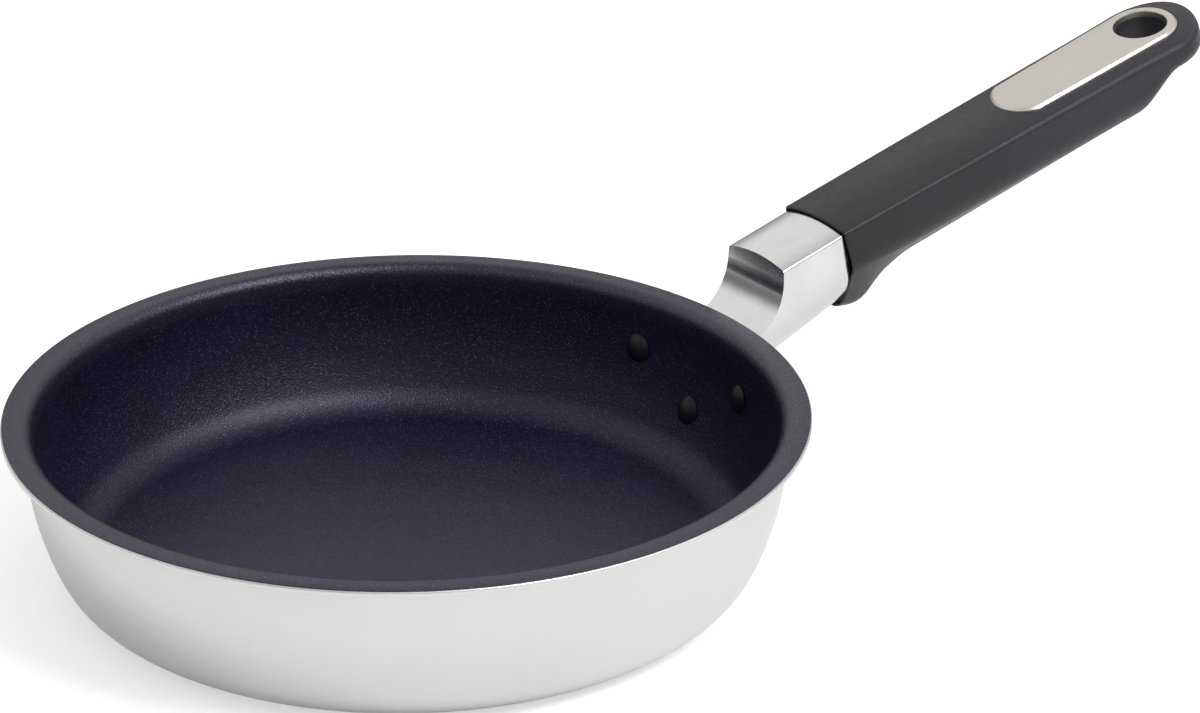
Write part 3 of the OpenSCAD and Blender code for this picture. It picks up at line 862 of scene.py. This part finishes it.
# %% Material: satin aluminium
satin, tree, shader = new_material("satin_aluminium", Metallic=1.0)
fine_lines = use(tree, lathe, Fineness=2600.0, Reach=2.0)[0]
coarse_lines = use(tree, lathe, Fineness=700.0, Reach=1.0)[0]
cloud = use(tree, mottle, Size=22.0)[0]
tone = spread(tree, add_up(tree, fine_lines, 0.5, cloud, 0.5))
colour = blend(tree, tone, (0.67, 0.665, 0.66, 1), (0.72, 0.715, 0.71, 1))
tree.links.new(colour, shader.inputs["Base Color"])
tree.links.new(spread(tree, fine_lines, 0.33, 0.42), shader.inputs["Roughness"])
# Heights are in metres here: the coarse lines end 1 mm above the underside
base_z = node(tree, "SeparateXYZ", {0: object_spot(tree)}).outputs[2]
under = between(tree, base_z, 0.0002, 0.001, 1.0, 0.0)
under_lines = maths(tree, "MULTIPLY", maths(tree, "MULTIPLY", coarse_lines, under), 4.0)
bump(tree, shader, maths(tree, "ADD", fine_lines, under_lines), 0.25, 0.00004)
print(satin.name, len(tree.nodes), "nodes")

# %% [markdown]
# ## Non-stick coat
# The coat is a dark blue-black with fine lighter flecks. Sprayed and baked, it has a slight
# orange peel that breaks a reflection up into sparkles. The flecks are the cells of a
# Voronoi pattern, of which only some are lit. On the lip, where tools and lids touch it,
# the coat is worn a little smoother. Its colour there is painted a lighter grey, as a
# painted reflection for the sheen that the lip shows.

# %% Material: non-stick coat
coat_values = {"IOR": 1.5, "Specular_IOR_Level": 0.52, "Specular_Tint": (0.82, 0.77, 1.0, 1)}
coating, tree, shader = new_material("nonstick_coating", **coat_values)
spot = object_spot(tree)
cells = node(tree, "TexVoronoi", {"Vector": spot, "Scale": 1900.0}, feature="F1")
lucky = node(tree, "SeparateColor", {0: cells.outputs["Color"]}).outputs[0]
dot = between(tree, cells.outputs["Distance"], 0.15, 0.4, 1.0, 0.0)
fleck = maths(tree, "MULTIPLY", dot, between(tree, lucky, 0.72, 0.92))
tone = spread(tree, use(tree, mottle, Size=40.0)[0])
ground = blend(tree, tone, (0.0024, 0.0021, 0.0120, 1), (0.0040, 0.0034, 0.0175, 1))
# The smoother wear and the painted sheen set in from 44 to 49 mm up, just under the lip, and
# are full on top of it
lip_z = node(tree, "SeparateXYZ", {0: spot}).outputs[2]
wear_and_sheen = between(tree, lip_z, 0.044, 0.049, 0.0, 0.13)
# Painted reflection: the lip's colour is lifted to a lighter grey for the sheen it shows
ground = blend(tree, maths(tree, "MULTIPLY", wear_and_sheen, 7.0), ground, (0.016, 0.015, 0.023, 1))
tree.links.new(blend(tree, fleck, ground, (0.16, 0.16, 0.22, 1)), shader.inputs["Base Color"])
tree.links.new(fleck, shader.inputs["Metallic"])
dull = between(tree, lucky, 0.0, 1.0, 0.32, 0.43)
tree.links.new(maths(tree, "SUBTRACT", dull, wear_and_sheen), shader.inputs["Roughness"])
bump(tree, shader, noise(tree, spot, 1500.0, 3.0, 0.65), 0.8, 0.00025)
print(coating.name, len(tree.nodes), "nodes")

# %% [markdown]
# ## Polished casting
# The neck is polished by hand, so it mirrors what is round it, with a faint waviness left
# from the mould. Its edges are the brightest part, because a round edge catches the light.

# %% Material: polished casting
polished, tree, shader = new_material("polished_casting", Metallic=1.0)
cloud, fine = use(tree, mottle, Size=90.0)
colour = blend(tree, spread(tree, cloud), (0.65, 0.65, 0.635, 1), (0.71, 0.71, 0.695, 1))
tree.links.new(colour, shader.inputs["Base Color"])
tree.links.new(spread(tree, fine, 0.15, 0.22), shader.inputs["Roughness"])
bump(tree, shader, cloud, 0.10, 0.0005)
print(polished.name, len(tree.nodes), "nodes")

# %% [markdown]
# ## Coated rivets
# The heads inside the pan carry the same dark coat as the pan. The outer ends stay bare
# aluminium. One material serves both: the distance from the pan's axis tells them apart.

# %% Material: coated rivets
rivet_coat, tree, shader = new_material("coated_rivets", IOR=1.5, Specular_IOR_Level=0.2)
cloud, fine = use(tree, mottle, Size=120.0)
dark = blend(tree, cloud, (0.006, 0.0055, 0.009, 1), (0.011, 0.010, 0.015, 1))
bare = blend(tree, cloud, (0.60, 0.60, 0.60, 1), (0.70, 0.70, 0.69, 1))
radius = from_axis(tree, node(tree, "SeparateXYZ", {0: object_spot(tree)}))[1]
outside = between(tree, radius, 0.1127, 0.1132)
tree.links.new(blend(tree, outside, dark, bare), shader.inputs["Base Color"])
tree.links.new(outside, shader.inputs["Metallic"])
tree.links.new(spread(tree, fine, 0.34, 0.44), shader.inputs["Roughness"])
bump(tree, shader, fine, 0.2, 0.0002)
print(rivet_coat.name, len(tree.nodes), "nodes")

# %% [markdown]
# ## Black grip
# The grip is a heat-proof moulding with a fine spark-eroded grain. It is matte, so it takes
# its tone from soft light and shows only a broad, weak sheen along the crease. Its colour
# is painted a little paler towards the tail, as painted light for the tail's lit end.

# %% Material: black grip
moulded, tree, shader = new_material("black_grip", IOR=1.5, Specular_IOR_Level=0.28)
cloud, fine = use(tree, mottle, Size=35.0)
spot = object_spot(tree)
pitted = {"Vector": spot, "Scale": 1700.0}
pits = node(tree, "TexVoronoi", pitted, feature="SMOOTH_F1").outputs["Distance"]
along = node(tree, "SeparateXYZ", {0: spot}).outputs[0]
# Painted light: the colour grows paler towards the tail, for the light that its end catches
painted_tail_light = between(tree, along, 0.16, 0.31, 0.0, 0.75)
tone = maths(tree, "ADD", spread(tree, cloud, 0.0, 0.25), painted_tail_light)
colour = blend(tree, tone, (0.0165, 0.016, 0.020, 1), (0.032, 0.031, 0.038, 1))
tree.links.new(colour, shader.inputs["Base Color"])
tree.links.new(spread(tree, fine, 0.34, 0.43), shader.inputs["Roughness"])
bump(tree, shader, maths(tree, "ADD", pits, fine), 0.55, 0.0001)
print(moulded.name, len(tree.nodes), "nodes")

# %% [markdown]
# ## Satin plate and hidden screw
# The plate is brushed along the handle, a warm grey, and its bevel is brighter because it
# leans towards the light. The screw lies under the plate and is plain turned steel.

# %% Material: satin plate and screw steel
brushed, tree, shader = new_material("satin_plate", Metallic=1.0)
brush_lean = (0, radians(HANDLE_LEAN - GRIP_LEAN), 0)
strands = use(tree, grain, Lean=brush_lean, Fineness=1800.0)[0]
cloud = use(tree, mottle, Size=30.0)[0]
tone = between(tree, add_up(tree, strands, 0.7, cloud, 0.3), 0.35, 0.65)
colour = blend(tree, tone, (0.56, 0.53, 0.49, 1), (0.63, 0.60, 0.555, 1))
tree.links.new(colour, shader.inputs["Base Color"])
tree.links.new(spread(tree, strands, 0.30, 0.42), shader.inputs["Roughness"])
bump(tree, shader, strands, 0.2, 0.00005)

screw_metal, tree, shader = new_material("screw_steel", Metallic=1.0)
cloud, fine = use(tree, mottle, Size=150.0)
colour = blend(tree, cloud, (0.50, 0.50, 0.52, 1), (0.64, 0.64, 0.66, 1))
tree.links.new(colour, shader.inputs["Base Color"])
tree.links.new(spread(tree, fine, 0.28, 0.4), shader.inputs["Roughness"])
print(brushed.name, "and", screw_metal.name)

# %% [markdown]
# ## Dressing the nodes
# Each new piece takes the place of its CAD node, rides the one body of the pan and fills
# the node's material slot. The screw stays as it is and only takes its finish.

# %% Give every piece its material, its body and its slot
finishes = {
    "pan_body": satin, "nonstick_lining": coating, "handle_bracket": polished,
    "grip": moulded, "inlay_plate": brushed, **{name: rivet_coat for name in rivets},
}
for name, piece in pieces.items():
    piece.data.materials.clear()
    piece.data.materials.append(finishes[name])
    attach(piece, "root")
    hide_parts(name)
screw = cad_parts["grip_screw"]
for slot in screw.material_slots:
    slot.material = screw_metal
print("finishes:", {name: material.name for name, material in finishes.items()})

# %% [markdown]
# ## Floor
# The photograph is a studio picture on white. The floor is a pale sheet that takes a soft
# shadow. What the camera sees of it is lifted to white, and what the metal mirrors of it
# is lifted a little, while the light that it throws back stays plain.

# %% Floor
bpy.ops.object.select_all(action="DESELECT")
bpy.ops.mesh.primitive_plane_add(size=12)
floor = bpy.context.object
floor.name = "floor"
paper = bpy.data.materials.new("white_paper")
paper.use_nodes = True
tree = paper.node_tree
tree.nodes.clear()


def seen_in_mirror(tree, path):
    """1 for a ray that a glossy or clear surface has sent on."""
    return maths(tree, "MAXIMUM", path["Is Glossy Ray"], path["Is Transmission Ray"])


diffuse = node(tree, "BsdfDiffuse", {"Color": (0.8, 0.8, 0.8, 1)})
path = node(tree, "LightPath").outputs
lift = add_up(tree, path["Is Camera Ray"], 0.45, seen_in_mirror(tree, path), 0.14)
glow = node(tree, "Emission", {"Color": (1, 1, 1, 1), "Strength": lift})
both = node(tree, "AddShader", {0: diffuse.outputs[0], 1: glow.outputs[0]})
tree.links.new(both.outputs[0], node(tree, "OutputMaterial").inputs[0])
floor.data.materials.append(paper)
print("floor:", paper.name)

# %% [markdown]
# ## The room
# The camera sees the room as white, and it lights the pan at a plain level. In a mirror
# it is a studio: dim near the floor, bright above, and dimmer right overhead and on the
# side where the photographer stands. That leaves the inside of the pan dark, as it
# should be, while the neck and the plate stay bright.

# %% World
NEAR_SIDE = (-0.616, -0.788, 0.0)
world = bpy.data.worlds.new("studio")
bpy.context.scene.world = world
world.use_nodes = True
tree = world.node_tree
tree.nodes.clear()
path = node(tree, "LightPath").outputs
direction = node(tree, "TexCoord").outputs["Generated"]
# The height of a direction is 0 for level and 1 for straight up
height = node(tree, "SeparateXYZ", {0: direction}).outputs[2]
haze = between(tree, height, 0.2, 0.42, 0.22, 1.0)
overhead = between(tree, height, 0.82, 0.97, 1.0, 0.45)
near = vector(tree, "DOT_PRODUCT", direction, NEAR_SIDE, "Value")
dimmed = maths(tree, "MULTIPLY", overhead, between(tree, near, 0.2, 0.8, 1.0, 0.6))
haze = maths(tree, "MULTIPLY", haze, dimmed)
mirrored = {0: seen_in_mirror(tree, path), 2: 0.6, 3: haze}
soft = node(tree, "Mix", mirrored, data_type="FLOAT").outputs[0]
strength = maths(tree, "MAXIMUM", path["Is Camera Ray"], soft)
sky = node(tree, "Background", {"Color": (1, 1, 1, 1), "Strength": strength})
tree.links.new(sky.outputs[0], node(tree, "OutputWorld").inputs[0])
print("world:", len(tree.nodes), "nodes")

# %% [markdown]
# ## Lamps and camera
# One large softbox stands high at the front right. It makes the bright patch low on the
# far wall of the coat and the light lines on the handle. A weak one overhead softens the
# shadow and is kept out of the mirrors. The camera is long and looks down at the pan.

# %% Lamps
def softbox(name, spot, aim, size, watts):
    """A square area lamp at spot that faces aim."""
    data = bpy.data.lights.new(name, "AREA")
    data.shape, data.size, data.energy = "SQUARE", size, watts
    lamp = bpy.data.objects.new(name, data)
    bpy.context.scene.collection.objects.link(lamp)
    lamp.location = spot
    lamp.rotation_euler = (Vector(aim) - Vector(spot)).to_track_quat("-Z", "Y").to_euler()
    return lamp


key = softbox("key_right", (0.33, -1.03, 1.38), (0.0, 0.0, 0.03), 0.8, 20.5)
top = softbox("fill_top", (0.1, 0.2, 2.0), (0.1, 0.0, 0.0), 1.4, 4)
top.visible_glossy = False
print("lamps:", key.name, "and", top.name)

# %% Camera
CAMERA_SPOT = (-0.7851, -1.0975, 0.6662)
right, up = Vector((0.788, -0.616, 0)), Vector((0.2491, 0.3189, 0.9145))
look = Vector((0.5630, 0.7206, -0.4047))
camera = bpy.data.objects.new("camera", bpy.data.cameras.new("camera"))
bpy.context.scene.collection.objects.link(camera)
turn = Matrix((right.normalized(), up.normalized(), -look.normalized())).transposed().to_4x4()
camera.matrix_world = shift(*CAMERA_SPOT) @ turn
camera.data.lens, camera.data.sensor_width = 150, 36
bpy.context.scene.camera = camera
print("camera:", camera.data.lens, "mm lens")

# %% Colour and finish
bpy.context.scene.view_settings.view_transform = "Standard"
